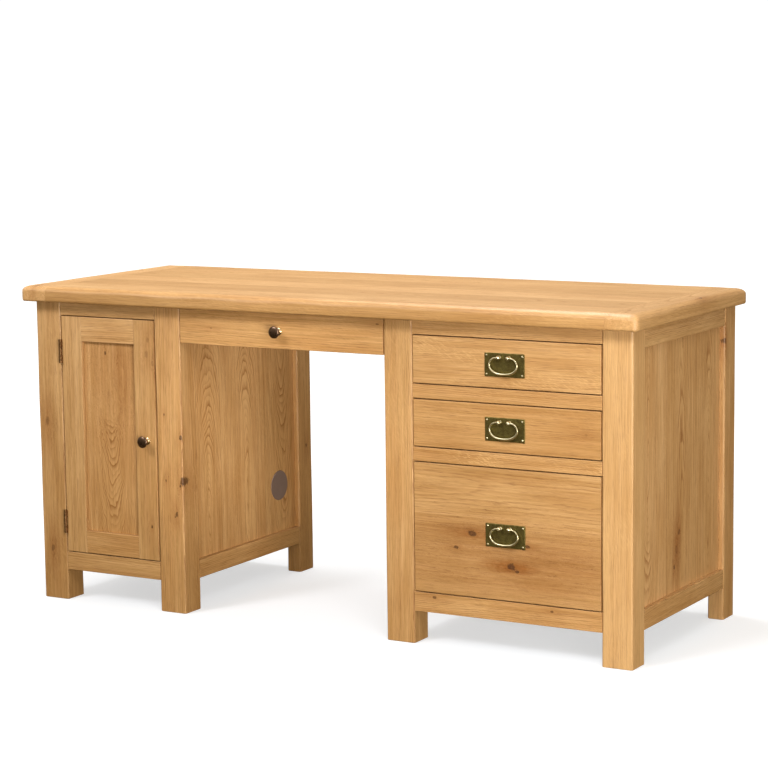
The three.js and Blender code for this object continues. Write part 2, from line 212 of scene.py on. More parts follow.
def oak_group():
    """Colour, roughness and height of oak. Grain runs along Z and the pith is at X = Y = 0."""
    tree, net, given, give = group(
        "oak_figure",
        {VECTOR: "Point Fine", FLOAT: "Ring Wave Tone Warmth Contrast Fleck Dark Stain Pale"},
        {COLOR: "Color", FLOAT: "Roughness Height"})
    fine = given["Fine"]

    def tint(level):
        """A darkening that also deepens the colour, since the blue goes first."""
        return net.join(level, net.math("POWER", level, 1.25), net.math("POWER", level, 1.9))

    # Growth rings, bent by a slow drift of the grain along the board and by a ragged ripple.
    bent = net.strayed(fine, given["Point"], (6.5, 6.5, 2.6), given["Wave"])
    ragged = net.linear(given["Contrast"], 0.0045, 0.0008)
    bent = net.strayed(fine, bent, (42.0, 42.0, 15.0), ragged)
    radius = net.vector("LENGTH", net.vector("MULTIPLY", bent, (1.0, 1.0, 0.0)))
    uneven = net.noise(net.join(radius, 0.0, 0.0), (55.0, 1.0, 1.0), 1.0)
    turns = net.math("ADD", net.math("DIVIDE", radius, given["Ring"]), net.times(uneven, 2.4))
    early = net.ramp(net.math("FRACT", turns),
                     [(0.0, 0.75), (0.07, 1.0), (0.28, 0.5), (0.62, 0.06), (0.93, 0.0),
                      (1.0, 0.75)])
    # Some years stand out and others hardly show.
    year = net.noise(net.join(net.math("FLOOR", turns), 3.7, 0.0), (0.73, 1.0, 1.0), 0.0)
    early = net.times(early, net.ramp(year, [(0.3, 0.25), (0.7, 1.0)]))

    pores = net.noise(fine, (560.0, 560.0, 30.0), 2.0, 0.6)
    pores = net.ramp(pores, [(0.48, 0.0), (0.64, 1.0)], "LINEAR")
    pores = net.times(pores, net.linear(early, 0.7, 0.3))
    fibre = net.noise(fine, (170.0, 170.0, 5.0), 3.0, 0.62)
    streak = net.noise(fine, (62.0, 62.0, 2.1), 2.0, 0.6)
    broad = net.noise(fine, (12.0, 12.0, 1.7))
    blotch = net.noise(fine, (17.0, 17.0, 7.0), 1.0)
    # Ray fleck lies aslant across the grain, in patches.
    across, over, up = net.split(fine)
    beside = net.math("ADD", across, over)
    slant = net.join(net.linear(up, 0.42, beside), net.math("SUBTRACT", across, over),
                     net.linear(beside, -0.42, up))
    ray = net.ramp(net.noise(slant, (420.0, 150.0, 42.0), 1.0), [(0.52, 0.0), (0.64, 1.0)])
    patch = net.ramp(net.noise(fine, (10.0, 10.0, 5.0), 1.0), [(0.42, 0.0), (0.62, 1.0)])
    ray = net.times(net.times(ray, patch), given["Fleck"])

    shade = net.linear(blotch, 0.3, net.times(broad, 0.4))
    shade = net.ramp(net.linear(streak, 0.3, shade), [(0.34, 0.0), (0.66, 1.0)], "LINEAR")
    lines = net.times(early, net.times(given["Contrast"], 0.55))
    color = net.mix(net.times(shade, 0.7), net.mix(given["Warmth"], *LIGHT),
                    net.mix(given["Warmth"], *DEEP))
    for amount, layer, mode in (
            (lines, EARLYWOOD, "MIX"), (1.0, tint(net.linear(fibre, 0.72, 0.65)), "MULTIPLY"),
            (net.times(pores, 0.5), PORE, "MIX"), (net.times(ray, 0.5), RAY, "MIX"),
            (1.0, tint(given["Tone"]), "MULTIPLY"), (given["Pale"], PALE_WOOD_AND_PAINTED_LIGHT, "MIX"),
            (given["Stain"], HALO, "MULTIPLY"), (given["Dark"], KNOT_CORE, "MIX")):
        color = net.mix(amount, color, layer, mode)
    give("Color", color)

    rough = net.linear(pores, 0.2, net.linear(early, 0.06, 0.4))
    give("Roughness", net.linear(fibre, 0.08, rough))
    give("Height", net.linear(pores, -1.0, net.times(early, -0.55)))
    return tree


KNOT = knot_group()
OAK = oak_group()


def principled(name, **settings):
    """A material holding just a Principled shader; the settings are numbers for its sockets."""
    material = bpy.data.materials.new(name)
    material.use_nodes = True
    material.node_tree.nodes.clear()
    net = Net(material.node_tree)
    shader = net.node("BsdfPrincipled")
    net.node("OutputMaterial", shader.outputs[0])
    for key, value in settings.items():
        label = key.replace("_", " ").title().replace("Ior", "IOR")
        shader.inputs[label].default_value = value
    return material, net, shader


def surface(net, shader, color, rough, height, depth, strength=1.0):
    """Colour, roughness and relief, which is `depth` mm deep."""
    relief = net.node("Bump")
    for made, label, value in (
            (relief, "Strength", strength), (relief, "Distance", depth * MM),
            (relief, "Height", height), (shader, "Normal", relief.outputs[0]),
            (shader, "Base Color", color), (shader, "Roughness", rough)):
        net.put(made.inputs[label], value)


JOINT_HALF, JOINT_DARK = 0.35 * MM, 0.4  # the glue line between two boards
USUAL_STAIN = 0.35  # round a knot


def oak(name, lo, hi, grain, face, seed, cut="rift", ring=3.0, wave=10.0, tone=1.0, contrast=1.0,
        fleck=0.25, pale=0.0, knots=(), joints=(), crowns=(), fall=0.0, painted_edge_shade=1.0):
    """Oak for one board between corners lo and hi, or for several glued side by side.

    cut is how the board left the log: "rift" shows straight lines on every face, and "flat" shows
    cathedrals on the face whose normal is `face`. knots are (across, along, radius in mm, core,
    push, stain) with across and along as shares of the board. joints are shares of the width at
    which one board ends and the next begins. crowns say, board by board, where the pith comes out
    of the face and how steeply: (across, along, slope). fall is painted shade: how much lighter the
    oak is high on the desk than near the floor, for light that falls off downwards. handled is
    painted shade too: the tone of faces that aren't level, which come out darker than the level face.
    """
    chance = random.Random(seed)
    a, b = ACROSS[grain]
    side = a if face == b else b
    size = Vector(hi) - Vector(lo)
    skin = lo[Y] if face == Y else hi[face]
    material, net, shader = principled(name, coat_weight=0.06, coat_roughness=0.34,
                                       specular_ior_level=0.42)
    place = net.node("TexCoord").outputs
    axes = net.split(place["Object"])
    point = net.join(axes[a], axes[b], axes[grain])

    def along_grain(values):
        return (values[a], values[b], values[grain])

    edges = [0.0, *joints, 1.0]
    pieces = []
    for k, (u, v) in enumerate(zip(edges, edges[1:])):
        # The pith's place as shares of the board, and how far beside and below that it lies.
        across, up, beside, below, slope = (u + v) / 2, 0.5, 0.0, 0.0, None
        if k < len(crowns) and crowns[k]:
            across, up, slope = crowns[k]
        elif cut == "flat":
            across += chance.uniform(-0.1, 0.1) * (v - u)
            below = chance.choice((-1, 1)) * chance.uniform(0.03, 0.06)
        else:
            reach = chance.uniform(0.09, 0.15)
            turn = radians(chance.uniform(35, 55)) + chance.randrange(4) * pi / 2
            beside, below = reach * cos(turn), reach * sin(turn)
        pith = {side: lo[side] + across * size[side] + beside, face: skin + below,
                grain: lo[grain] + up * size[grain]}
        lean = {side: chance.uniform(-0.02, 0.02), face: slope, grain: 0.0}
        if slope is None:
            steepest = 0.07 if cut == "flat" else 0.02
            lean[face] = chance.uniform(-steepest, steepest)
        far = tuple(chance.uniform(-9, 9) for _ in range(3))
        pieces.append((along_grain(pith), along_grain(lean), far))

    pith, lean, far = pieces[0]
    dark = stain = None
    if joints:
        count = line = None
        for share in joints:
            at = lo[side] + share * size[side]
            step = net.math("GREATER_THAN", axes[side], at)
            count = step if count is None else net.math("ADD", count, step)
            near = net.math("ABSOLUTE", net.math("SUBTRACT", axes[side], at))
            line = net.most(line, net.math("LESS_THAN", near, JOINT_HALF))
        dark = net.times(line, JOINT_DARK)
        # Each board is cut from another place in another log.
        for k, piece in enumerate(pieces[1:], 1):
            here = net.math("COMPARE", count, float(k), 0.1)
            moved = []
            for old, first, new in zip((pith, lean, far), pieces[0], piece):
                change = tuple(n - f for n, f in zip(new, first))
                moved.append(net.vector("ADD", net.vector("SCALE", change, scale=here), old))
            pith, lean, far = moved
        vary = net.math("SINE", net.linear(count, 2.7, chance.uniform(0, 6)))
        tone = net.linear(vary, 0.08, tone)
    # Painted shade: darker near the floor and lighter high up, standing in for light that falls off downwards.
    if fall:
        tone = net.times(net.ramp(axes[Z], [(0.1, 1 - fall), (0.7, 1 + fall)], "LINEAR"), tone)
    # Painted shade: faces that aren't level, such as the desktop's edges, are darker than its level face.
    if painted_edge_shade != 1.0:
        upward = net.split(place["Normal"])[Z]
        tone = net.times(net.ramp(upward, [(0.3, painted_edge_shade), (0.95, 1.0)], "LINEAR"), tone)
    warped = net.vector("SUBTRACT", point, pith)
    height = net.split(warped)[2]
    warped = net.vector("SUBTRACT", warped, net.vector("SCALE", lean, scale=height))

    mask = along_grain({side: 1.0, face: 0.3, grain: 0.6})
    for across, up, radius, core, push, *halo in knots:
        at = {side: lo[side] + across * size[side], grain: lo[grain] + up * size[grain], face: skin}
        knot = net.use(KNOT, Point=warped, Surface=point, Centre=along_grain(at), Mask=mask,
                       Radius=radius * MM, Core=core, Push=push, Stain=(*halo, USUAL_STAIN)[0])
        warped = knot["Point"]
        dark, stain = net.most(dark, knot["Dark"]), net.most(stain, knot["Stain"])

    figure = net.use(OAK, Point=warped, Fine=net.vector("ADD", point, far), Ring=ring * MM,
                     Wave=wave * MM, Tone=tone, Warmth=chance.random(), Contrast=contrast,
                     Fleck=fleck, Dark=dark, Stain=stain, Pale=pale)
    surface(net, shader, figure["Color"], figure["Roughness"], figure["Height"], 0.12)
    return material


def metal(name, base, stain, rough, grain_size, stain_share):
    """A metal of two mottled colours, with tarnish settling at `grain_size` mm and smaller."""
    material, net, shader = principled(name, metallic=1.0)
    place = net.node("TexCoord").outputs["Object"]
    each = 1000.0 / grain_size
    cloud = net.noise(place, each, 4.0, 0.62)
    speck = net.noise(place, each * 9)
    amount = net.linear(speck, 0.3, net.times(cloud, 0.7))
    amount = net.ramp(amount, [(stain_share - 0.14, 0.0), (stain_share + 0.14, 1.0)])
    rough = net.linear(amount, rough[1] - rough[0], rough[0])
    surface(net, shader, net.mix(amount, stain, base), rough, amount, 0.06, 0.6)
    return material


def plastic(name, light, dark):
    """A moulded plastic with the faint mottle of its spark-eroded texture."""
    material, net, shader = principled(name, specular_ior_level=0.35)
    place = net.node("TexCoord").outputs["Object"]
    grain = net.noise(place, 900.0)
    color = net.mix(net.noise(place, 40.0), dark, light)
    surface(net, shader, color, net.linear(grain, 0.2, 0.45), grain, 0.05, 0.5)
    return material


BRONZE = metal("bronze_dark", (0.225, 0.145, 0.098), (0.09, 0.052, 0.034), (0.38, 0.28), 7.0, 0.5)
NECK = metal("bronze_bright", (0.6, 0.45, 0.26), (0.3, 0.2, 0.105), (0.36, 0.24), 5.0, 0.42)
HINGE = metal("bronze_hinge", (0.3, 0.16, 0.068), (0.125, 0.062, 0.026), (0.6, 0.48), 6.0, 0.5)
PLATE = metal("brass_antique", (0.265, 0.22, 0.072), (0.13, 0.1, 0.033), (0.55, 0.42), 14.0, 0.5)
WIRE = metal("brass_rubbed", (0.7, 0.64, 0.43), (0.46, 0.4, 0.24), (0.42, 0.3), 9.0, 0.4)
STEEL = metal("steel_zinc", (0.46, 0.46, 0.47), (0.34, 0.34, 0.35), (0.5, 0.4), 14.0, 0.45)
PLASTIC = plastic("plastic_taupe", (0.2, 0.135, 0.108), (0.165, 0.11, 0.088))


# ---- meshes
CREASE = radians(50)  # faces that meet at more than this keep a sharp edge


def loft(name, rings, capped=True):
    """A closed mesh through rings of points: its two end rings are capped, or join each other."""
    work = bmesh.new()
    rows = [[work.verts.new(p) for p in ring] for ring in rings]
    pairs = list(zip(rows, rows[1:]))
    if not capped:
        pairs.append((rows[-1], rows[0]))
    for low, high in pairs:
        n = len(low)
        for k in range(n):
            work.faces.new((low[k], low[(k + 1) % n], high[(k + 1) % n], high[k]))
    if capped:
        work.faces.new(list(reversed(rows[0])))
        work.faces.new(rows[-1])
    return finish_mesh(name, work)


def finish_mesh(name, work):
    bmesh.ops.recalc_face_normals(work, faces=work.faces)
    for line in work.edges:
        line.smooth = line.calc_face_angle(0.0) < CREASE
    mesh = bpy.data.meshes.new(name)
    work.to_mesh(mesh)
    work.free()
    for face in mesh.polygons:
        face.use_smooth = True
    made = bpy.data.objects.new(name, mesh)
    bpy.context.scene.collection.objects.link(made)
    even = made.modifiers.new("even_shading", "WEIGHTED_NORMAL")
    even.weight = 100
    even.keep_sharp = True
    return made


def join(name, parts):
    """One object from several, whose closed shells stay separate."""
    work = bmesh.new()
    for part in parts:
        part.data.transform(part.matrix_world)
        work.from_mesh(part.data)
        bpy.data.objects.remove(part)
    return finish_mesh(name, work)


def place(made, node_or_body, material, slot, replaced=()):
    """Gives a piece its material and its body, and hides the CAD parts that it replaces."""
    made.data.materials.append(material)
    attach(made, body_of_node.get(node_or_body, node_or_body))
    if replaced:
        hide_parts(*replaced)
    return made


def circle(steps):
    return [2 * pi * k / steps for k in range(steps)]


def rounded(w, h, radii):
    """A rectangle w by h about the origin with its own radius at each corner."""
    steps = 4
    points = []
    for k, (sx, sy) in enumerate(((1, 1), (-1, 1), (-1, -1), (1, -1))):
        r = max(radii[k], 0.05 * MM)
        for j in range(steps + 1):
            turn = (k + j / steps) * pi / 2
            points.append((sx * (w / 2 - r) + r * cos(turn),
                           sy * (h / 2 - r) + r * sin(turn)))
    return points


def wander(seed, count=3):
    """A smooth function of a length in metres that wanders between about -1 and 1."""
    chance = random.Random(seed)
    waves = [(chance.uniform(6, 34), chance.uniform(0, 6.3)) for _ in range(count)]
    return lambda s: sum(sin(f * s + p) for f, p in waves) / count


def board_mesh(name, lo, hi, grain, edge, end, wear, seed=0):
    """A board whose long edges are rounded by `edge` mm, worn more in some places than others."""
    a, b = ACROSS[grain]
    size = [h - l for l, h in zip(lo, hi)]
    edge = min(edge * MM, 0.45 * min(size[a], size[b]))
    end = min(end * MM, 0.3 * min(size))
    worn = [wander(hash((seed, k)) & 0xffff) for k in range(4)]
    length = size[grain]
    spans = max(2, round(length / 0.05))
    stations = [(0.0, end), (0.3 * end, 0.3 * end), (end, 0.0)]
    stations += [(end + (length - 2 * end) * k / spans, 0.0) for k in range(1, spans)]
    stations += [(length - end, 0.0), (length - 0.3 * end, 0.3 * end), (length, end)]
    rings = []
    for s, inset in stations:
        radii = [edge * (1 + wear * worn[k](s)) for k in range(4)]
        ring = []
        for u, v in rounded(size[a] - 2 * inset, size[b] - 2 * inset, radii):
            p = [0.0, 0.0, 0.0]
            p[grain] = lo[grain] + s
            p[a] = (lo[a] + hi[a]) / 2 + u
            p[b] = (lo[b] + hi[b]) / 2 + v
            ring.append(p)
        rings.append(ring)
    return loft(name, rings)


def turned(name, outline, centre, axis, steps=40):
    """A turned piece: outline is (radius, distance along the axis) in mm, both ends on the axis."""
    rings = []
    a, b = ACROSS[axis]
    for r, s in outline:
        ring = []
        for turn in circle(steps):
            p = list(centre)
            p[axis] += s * MM
            p[a] += max(r, 0.02) * MM * cos(turn)
            p[b] += max(r, 0.02) * MM * sin(turn)
            ring.append(p)
        rings.append(ring)
    return loft(name, rings)


# ---- boards
board_seeds = itertools.count(107, 7)


def board(node, grain, face, edge, end=0.6, slot="oak", trim=(0, 0, 0, 0), **looks):
    """Replaces a CAD board by one with worn edges and its own oak.

    trim is how many mm the board stands back at its left, right, bottom and top.
    """
    seed = next(board_seeds)
    lo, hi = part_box(node)
    left, right, under, over = trim
    lo, hi = lo + Vector((left, 0, under)) * MM, hi - Vector((right, 0, over)) * MM
    made = board_mesh(f"{node}_wood", lo, hi, grain, edge, end, 0.35, seed)
    # Cupboard and door pieces get painted shade, darker towards the floor.
    if node.startswith(("cupboard", "door")):
        looks["fall"] = 0.1
    material = oak(f"oak_{node}", lo, hi, grain, face, seed, **looks)
    place(made, node, material, slot, (node,))


def panel(node, face, edge=0.4, **looks):
    """A thin upright field of boards glued side by side."""
    board(node, Z, face, edge=edge, cut="flat", **looks)


def legs():
    tones = {"cupboard_leg_front_inner": 0.97, "pedestal_leg_front_outer": 1.0,
             "pedestal_leg_rear_outer": 0.98}
    knots = {
        "cupboard_leg_front_inner": [
            (0.94, 0.578, 4.5, 1.0, 1.0, 0.3), (0.99, 0.435, 7.5, 1.0, 1.4, 0.35),
            (0.9, 0.42, 3.0, 1.0, 1.0, 0.5), (0.73, 0.327, 4.4, 0.9, 1.4, 0.5),
            (0.66, 0.318, 2.0, 0.9, 0.8), (0.33, 0.434, 2.4, 0.9, 0.8),
            (0.31, 0.65, 2.4, 0.9, 0.8)],
        "cupboard_leg_front_outer": [(0.34, 0.6, 7.0, 0.5, 1.4, 0.55),
                                     (0.42, 0.172, 6.0, 0.6, 1.4, 0.6)],
        "cupboard_leg_rear_inner": [(0.57, 0.443, 4.0, 0.8, 1.2, 0.4)],
        "pedestal_leg_rear_outer": [(0.04, 0.893, 5.0, 0.9, 1.2, 0.6)],
    }
    for prefix, (end, face), side in itertools.product(
            ("cupboard", "pedestal"), (("front", Y), ("rear", X)), ("outer", "inner")):
        node = f"{prefix}_leg_{end}_{side}"
        # The right-hand front leg is painted lighter and paler than the others: painted light for the brighter
        # light on it.
        board(node, Z, face, edge=4.6, end=1.5, ring=2.6, wave=7.0, contrast=0.85, fleck=0.3,
              tone=tones.get(node, 0.93), knots=knots.get(node, ()),
              pale=0.2 if node == "pedestal_leg_front_outer" else 0.0)


def side_frames():
    for prefix, side, level in itertools.product(
            ("cupboard", "pedestal"), ("outer", "inner"), ("top", "bottom")):
        board(f"{prefix}_{side}_rail_{level}", Y, X, edge=1.6, ring=2.8, wave=7.0, contrast=0.8,
              tone=0.96)
    panel("cupboard_outer_panel", X, ring=3.2, wave=26.0, joints=(0.31, 0.68))
    panel("pedestal_inner_panel", X, ring=3.2, wave=26.0, joints=(0.35, 0.66))
    panel("pedestal_outer_panel", X, ring=3.2, wave=22.0, contrast=1.25, joints=(0.32, 0.69),
          tone=1.03, crowns=[(0.1, 0.62, 0.12), None, (0.86, 0.35, 0.1)],
          knots=[(0.48, 0.231, 5.0, 0.9, 2.2, 0.7), (0.45, 0.165, 8.0, 0.3, 2.0, 0.8),
                 (0.42, 0.1, 4.5, 1.0, 1.6, 0.7)])
    cable_panel()


def cable_panel():
    """The kneehole side of the cupboard, with its round cable hole and the cap in it."""
    node = "cupboard_inner_panel"
    lo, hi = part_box(node)
    hole_y, hole_z, hole_r = lo.y + 382 * MM, 241 * MM, 35 * MM
    corners = {atan2(z - hole_z, y - hole_y) % (2 * pi)
               for y in (lo.y, hi.y) for z in (lo.z, hi.z)}
    turns = sorted(corners | set(circle(96)))

    def rim(x, r, turns):
        return [(x, hole_y + r * cos(t), hole_z + r * sin(t)) for t in turns]

    def border(x):
        """The panel's outline, with its points at the same turns as those of the hole's rim."""
        ring = []
        for t in turns:
            c, s = cos(t), sin(t)
            reach = min(((hi.y if c > 0 else lo.y) - hole_y) / c if abs(c) > 1e-9 else 9,
                        ((hi.z if s > 0 else lo.z) - hole_z) / s if abs(s) > 1e-9 else 9)
            ring.append((x, hole_y + reach * c, hole_z + reach * s))
        return ring

    ease = 0.9 * MM
    eased = [(0, ease), (0.3 * ease, 0.3 * ease), (ease, 0)]
    rings = [border(hi.x)]
    rings += [rim(hi.x - back, hole_r + grow, turns) for back, grow in eased]
    rings += [rim(lo.x + back, hole_r + grow, turns) for back, grow in reversed(eased)]
    rings += [border(lo.x)]
    made = loft(f"{node}_wood", rings, capped=False)
    # Painted shade: the panel is a little darker towards the floor.
    material = oak(f"oak_{node}", lo, hi, Z, X, 77, cut="flat", ring=3.6, wave=26.0, contrast=1.45,
                   joints=(0.32, 0.69), fall=0.05,
                   crowns=[(0.14, 0.08, 0.16), (0.52, 0.24, 0.14), (0.86, 1.25, 0.12)])
    place(made, node, material, "oak", (node,))

    flange = [(0, 0), (38.2, 0), (38.2, 0.9), (37.9, 1.3), (37.3, 1.6), (35.6, 1.6), (35.2, 1.4),
              (0, 1.3)]
    skirt = [(34.7, -10), (34.7, 0.2), (32.3, 0.2), (32.3, -10)]
    rings = [rim(hi.x + s * MM, r * MM, circle(64)) for r, s in skirt]
    cap = join("cable_port_cap", [turned("flange", flange, (hi.x, hole_y, hole_z), X, 64),
                                  loft("skirt", rings, capped=False)])
    place(cap, node, PLASTIC, "oak")


def front_rails():
    for rail, tone in (("cupboard_front_rail_top", 0.95), ("cupboard_front_rail_bottom", 0.98),
                       ("pedestal_front_rail_top", 1.0)):
        board(rail, X, Y, edge=1.0, ring=2.6, wave=6.0, tone=tone)


def web_frames():
    """The three frames under the drawers, each split into its rail, runners and rear rail."""
    rail_deep, thick, runner_wide, rear_deep = 21 * MM, 20 * MM, 34 * MM, 30 * MM
    front_lo, front_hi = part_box("drawer_1_front")
    x0, x1 = front_lo.x - 1.8 * MM, front_hi.x + 1.8 * MM
    knots = {"bottom": [(0.8, 0.11, 3.6, 0.9, 1.4), (0.75, 0.74, 3.2, 0.9, 1.4)]}
    for level, fleck in (("upper", 0.2), ("lower", 1.0), ("bottom", 0.3)):
        node = f"drawer_frame_{level}"
        seed = 40 + len(level)
        lo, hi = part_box(node)
        y0, y1 = lo.y + rail_deep, hi.y - rear_deep
        p, q = Vector((x0, lo.y, lo.z)), Vector((x1, y0, hi.z))
        made = board_mesh(f"{node}_rail", p, q, X, 1.0, 0.5, 0.3, seed)
        material = oak(f"oak_{node}_rail", p, q, X, Y, seed, ring=2.6, wave=6.0, fleck=fleck,
                       knots=knots.get(level, ()), tone=0.93)
        place(made, node, material, "oak", (node,))
        for tag, left, right, front, back, grain in (
                ("runner_left", x0, x0 + runner_wide, y0, y1, Y),
                ("runner_right", x1 - runner_wide, x1, y0, y1, Y),
                ("rear", lo.x, hi.x, y1, hi.y, X)):
            p, q = Vector((left, front, hi.z - thick)), Vector((right, back, hi.z))
            made = board_mesh(f"{node}_{tag}", p, q, grain, 1.0, 0.5, 0.2, seed + 1)
            material = oak(f"oak_{node}_{tag}", p, q, grain, Z, seed + ord(tag[0]), ring=2.8,
                           pale=0.35, contrast=0.7)
            place(made, node, material, "oak")


def linings():
    plain = {"slot": "oak_lining", "wave": 24.0, "contrast": 0.7, "pale": 0.3}
    panel("cupboard_back_panel", Y, joints=(0.34, 0.67), **plain)
    panel("pedestal_back_panel", Y, joints=(0.2, 0.41, 0.6, 0.81), **plain)
    floor = frame["nodes"]["cupboard_floor"]
    weld = floor.modifiers.new("weld", "WELD")
    weld.merge_threshold = 0.01 * MM
    soften = floor.modifiers.new("eased_edges", "BEVEL")
    soften.width = 0.6 * MM
    soften.segments = 2
    floor.data.materials.clear()
    floor.data.materials.append(oak("oak_cupboard_floor", *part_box("cupboard_floor"), Y, Z, 61,
                                    cut="flat", wave=20.0, contrast=0.7, pale=0.3,
                                    joints=(0.36, 0.7)))


GAP = 0.6  # mm that a door or drawer front stands back from its opening at each edge


def door():
    plain = {"edge": 1.4, "ring": 2.7}
    board("door_stile_hinge", Z, Y, trim=(GAP, 0, GAP, GAP), wave=5.0, contrast=0.7, tone=0.94,
          **plain)
    board("door_stile_knob", Z, Y, trim=(0, GAP, GAP, GAP), wave=9.0, contrast=0.8, tone=0.92,
          knots=[(0.71, 0.92, 4.0, 0.35, 2.0), (0.62, 0.86, 5.0, 0.3, 2.2),
                 (0.92, 0.825, 4.0, 0.35, 2.0), (0.7, 0.14, 3.2, 0.9, 1.4)], **plain)
    board("door_rail_top", X, Y, trim=(0, 0, 0, GAP), wave=6.0, contrast=0.7, **plain)
    board("door_rail_bottom", X, Y, trim=(0, 0, GAP, 0), wave=6.0, contrast=0.7, tone=0.97,
          **plain)
    panel("door_panel", Y, edge=0.3, ring=2.4, wave=24.0, contrast=1.55, tone=0.98,
          crowns=[(0.48, 0.88, 0.12)],
          knots=[(0.42, 0.944, 3.0, 1.0, 1.4), (0.5, 0.7, 13.0, 0.0, 2.2, 0.22),
                 (0.68, 0.815, 15.0, 0.0, 2.0, 0.35), (0.4, 0.88, 12.0, 0.0, 1.8, 0.2)])


def drawer_fronts():
    for n, wave, contrast, tone, more in (
            (1, 12.0, 0.45, 0.95, {"fleck": 0.7}),
            (2, 12.0, 0.45, 0.88, {"knots": [(0.5, 0.925, 3.2, 0.4, 1.4)]}),
            (3, 16.0, 0.55, 0.89, {"knots": [
                (0.49, 0.318, 8.0, 1.0, 1.6, 0.8), (0.374, 0.23, 4.6, 1.0, 1.4, 0.6),
                (0.428, 0.615, 5.0, 1.0, 1.4, 0.7), (0.263, 0.528, 8.0, 1.0, 1.8, 1.0),
                (0.4, 0.42, 18.0, 0.0, 0.4, 0.5), (0.33, 0.72, 20.0, 0.0, 0.4, 0.5),
                (0.23, 0.56, 3.5, 1.0, 1.0, 0.5), (0.24, 0.68, 24.0, 0.0, 0.7, 0.45),
                (0.2, 0.33, 22.0, 0.0, 0.7, 0.35)]})):
        board(f"drawer_{n}_front", X, Y, edge=1.4, trim=(GAP,) * 4, ring=3.2, wave=wave,
              contrast=contrast, tone=tone, **more)
    board("tray_flap", X, Y, edge=1.8, ring=3.2, wave=12.0, contrast=0.35, tone=0.95,
          knots=[(0.49, 0.16, 2.6, 0.35, 1.2), (0.85, 0.975, 3.2, 0.6, 1.2)])


def open_box(node, prefix, base, up, thick, edges, end, seeds, joints=(), **looks):
    """Replaces a node by two sides, a back and a bottom as separate boards.

    The bottom, called `base`, is `thick` and lies `up` from the foot of the sides.
    """
    lo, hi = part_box(node)
    wall = 12 * MM
    x0, x1, y1, z0 = lo.x + wall, hi.x - wall, hi.y - wall, lo.z + up
    pieces = (("side_left", lo, (x0, hi.y, hi.z), Y, X), ("side_right", (x1, lo.y, lo.z), hi, Y, X),
              ("back", (x0, y1, z0), (x1, hi.y, hi.z), X, Y),
              (base, (x0, lo.y, z0), (x1, y1, z0 + thick), X, Z))
    for k, (tag, p, q, grain, face) in enumerate(pieces):
        made = board_mesh(f"{prefix}_{tag}", p, q, grain, edges[tag == base], end, 0.2,
                          seeds[0] + k)
        material = oak(f"oak_{prefix}_{tag}", p, q, grain, face, seeds[1] + k, cut="flat",
                       joints=joints if tag == base else (), **looks)
        place(made, node, material, "oak_lining", (node,) if k == 0 else ())


def drawer_boxes():
    for n in (1, 2, 3):
        open_box(f"drawer_{n}_box", f"drawer_{n}_box", "bottom", 8 * MM, 6 * MM, (1.6, 0.3), 0.5,
                 (n, 300 + 10 * n), contrast=0.5, pale=0.5, wave=14.0)


def tray():
    open_box("tray_board", "tray", "base", 0, 14 * MM, (1.8, 1.8), 0.6, (60, 360), (0.3, 0.66),
             contrast=0.6, pale=0.25, wave=16.0)


# ---- desktop
TOP_LO, TOP_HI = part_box("top_field_board")
TOP_THICK = TOP_HI.z - TOP_LO.z
ARRIS = 6 * MM  # radius of the desktop's lower edge
FRONT_WEAR, BACK_WEAR = 5, 9  # seeds


def worn_edge(s, seed):
    """How far the desktop's upper edge is rounded, inwards and down, at a place along it."""
    drift = wander(seed, 4)(s)
    return (21 + 3.5 * drift) * MM, (15.5 + 2.2 * drift) * MM


def arris_rise(t):
    """How far the rounded lower arris has risen at a distance t in from the edge."""
    return ARRIS - sqrt(ARRIS ** 2 - max(ARRIS - t, 0.0) ** 2)


ARRIS_STEPS = [t * MM for t in (6, 3, 0.9, 0)]


def edge_profile(inward, down):
    """(inset, depth below the top) from the edge's foot up over the worn round to the flat."""
    steps = 7
    rows = [(t, TOP_THICK - arris_rise(t)) for t in ARRIS_STEPS]
    foot = TOP_THICK - ARRIS
    rows += [(0.0, down + (foot - down) * k / 3) for k in (2, 1)]
    for k in range(steps + 1):
        turn = k / steps * pi / 2
        rows.append((inward * (1 - cos(turn)), down * (1 - sin(turn))))
    return rows


def field_board():
    rings = []
    spans = 90
    gap = 0.25 * MM
    start, end = TOP_LO.x + gap, TOP_HI.x - gap
    stations = [(start, gap), (start + gap, 0.0)]
    stations += [(start + (end - start) * k / spans, 0.0) for k in range(1, spans)]
    stations += [(end - gap, 0.0), (end, gap)]
    for x, inset in stations:
        front = edge_profile(*worn_edge(x, FRONT_WEAR))
        back = edge_profile(*worn_edge(x, BACK_WEAR))
        ring = [(x, TOP_LO.y + max(i, inset), TOP_HI.z - max(d, inset)) for i, d in front]
        ring += [(x, TOP_HI.y - max(i, inset), TOP_HI.z - max(d, inset)) for i, d in reversed(back)]
        rings.append(ring)
    made = loft("desktop_field", rings)
    # The desktop's edges and underside are painted darker than its top: painted shade.
    material = oak("oak_desktop_field", TOP_LO, TOP_HI, X, Z, 501, cut="flat", ring=3.4, wave=26.0,
                   contrast=0.5, joints=(0.17, 0.36, 0.53, 0.71, 0.86), tone=0.915, pale=0.08,
                   fleck=0.4, painted_edge_shade=0.87)
    place(made, "top_field_board", material, "oak", ("top_field_board",))


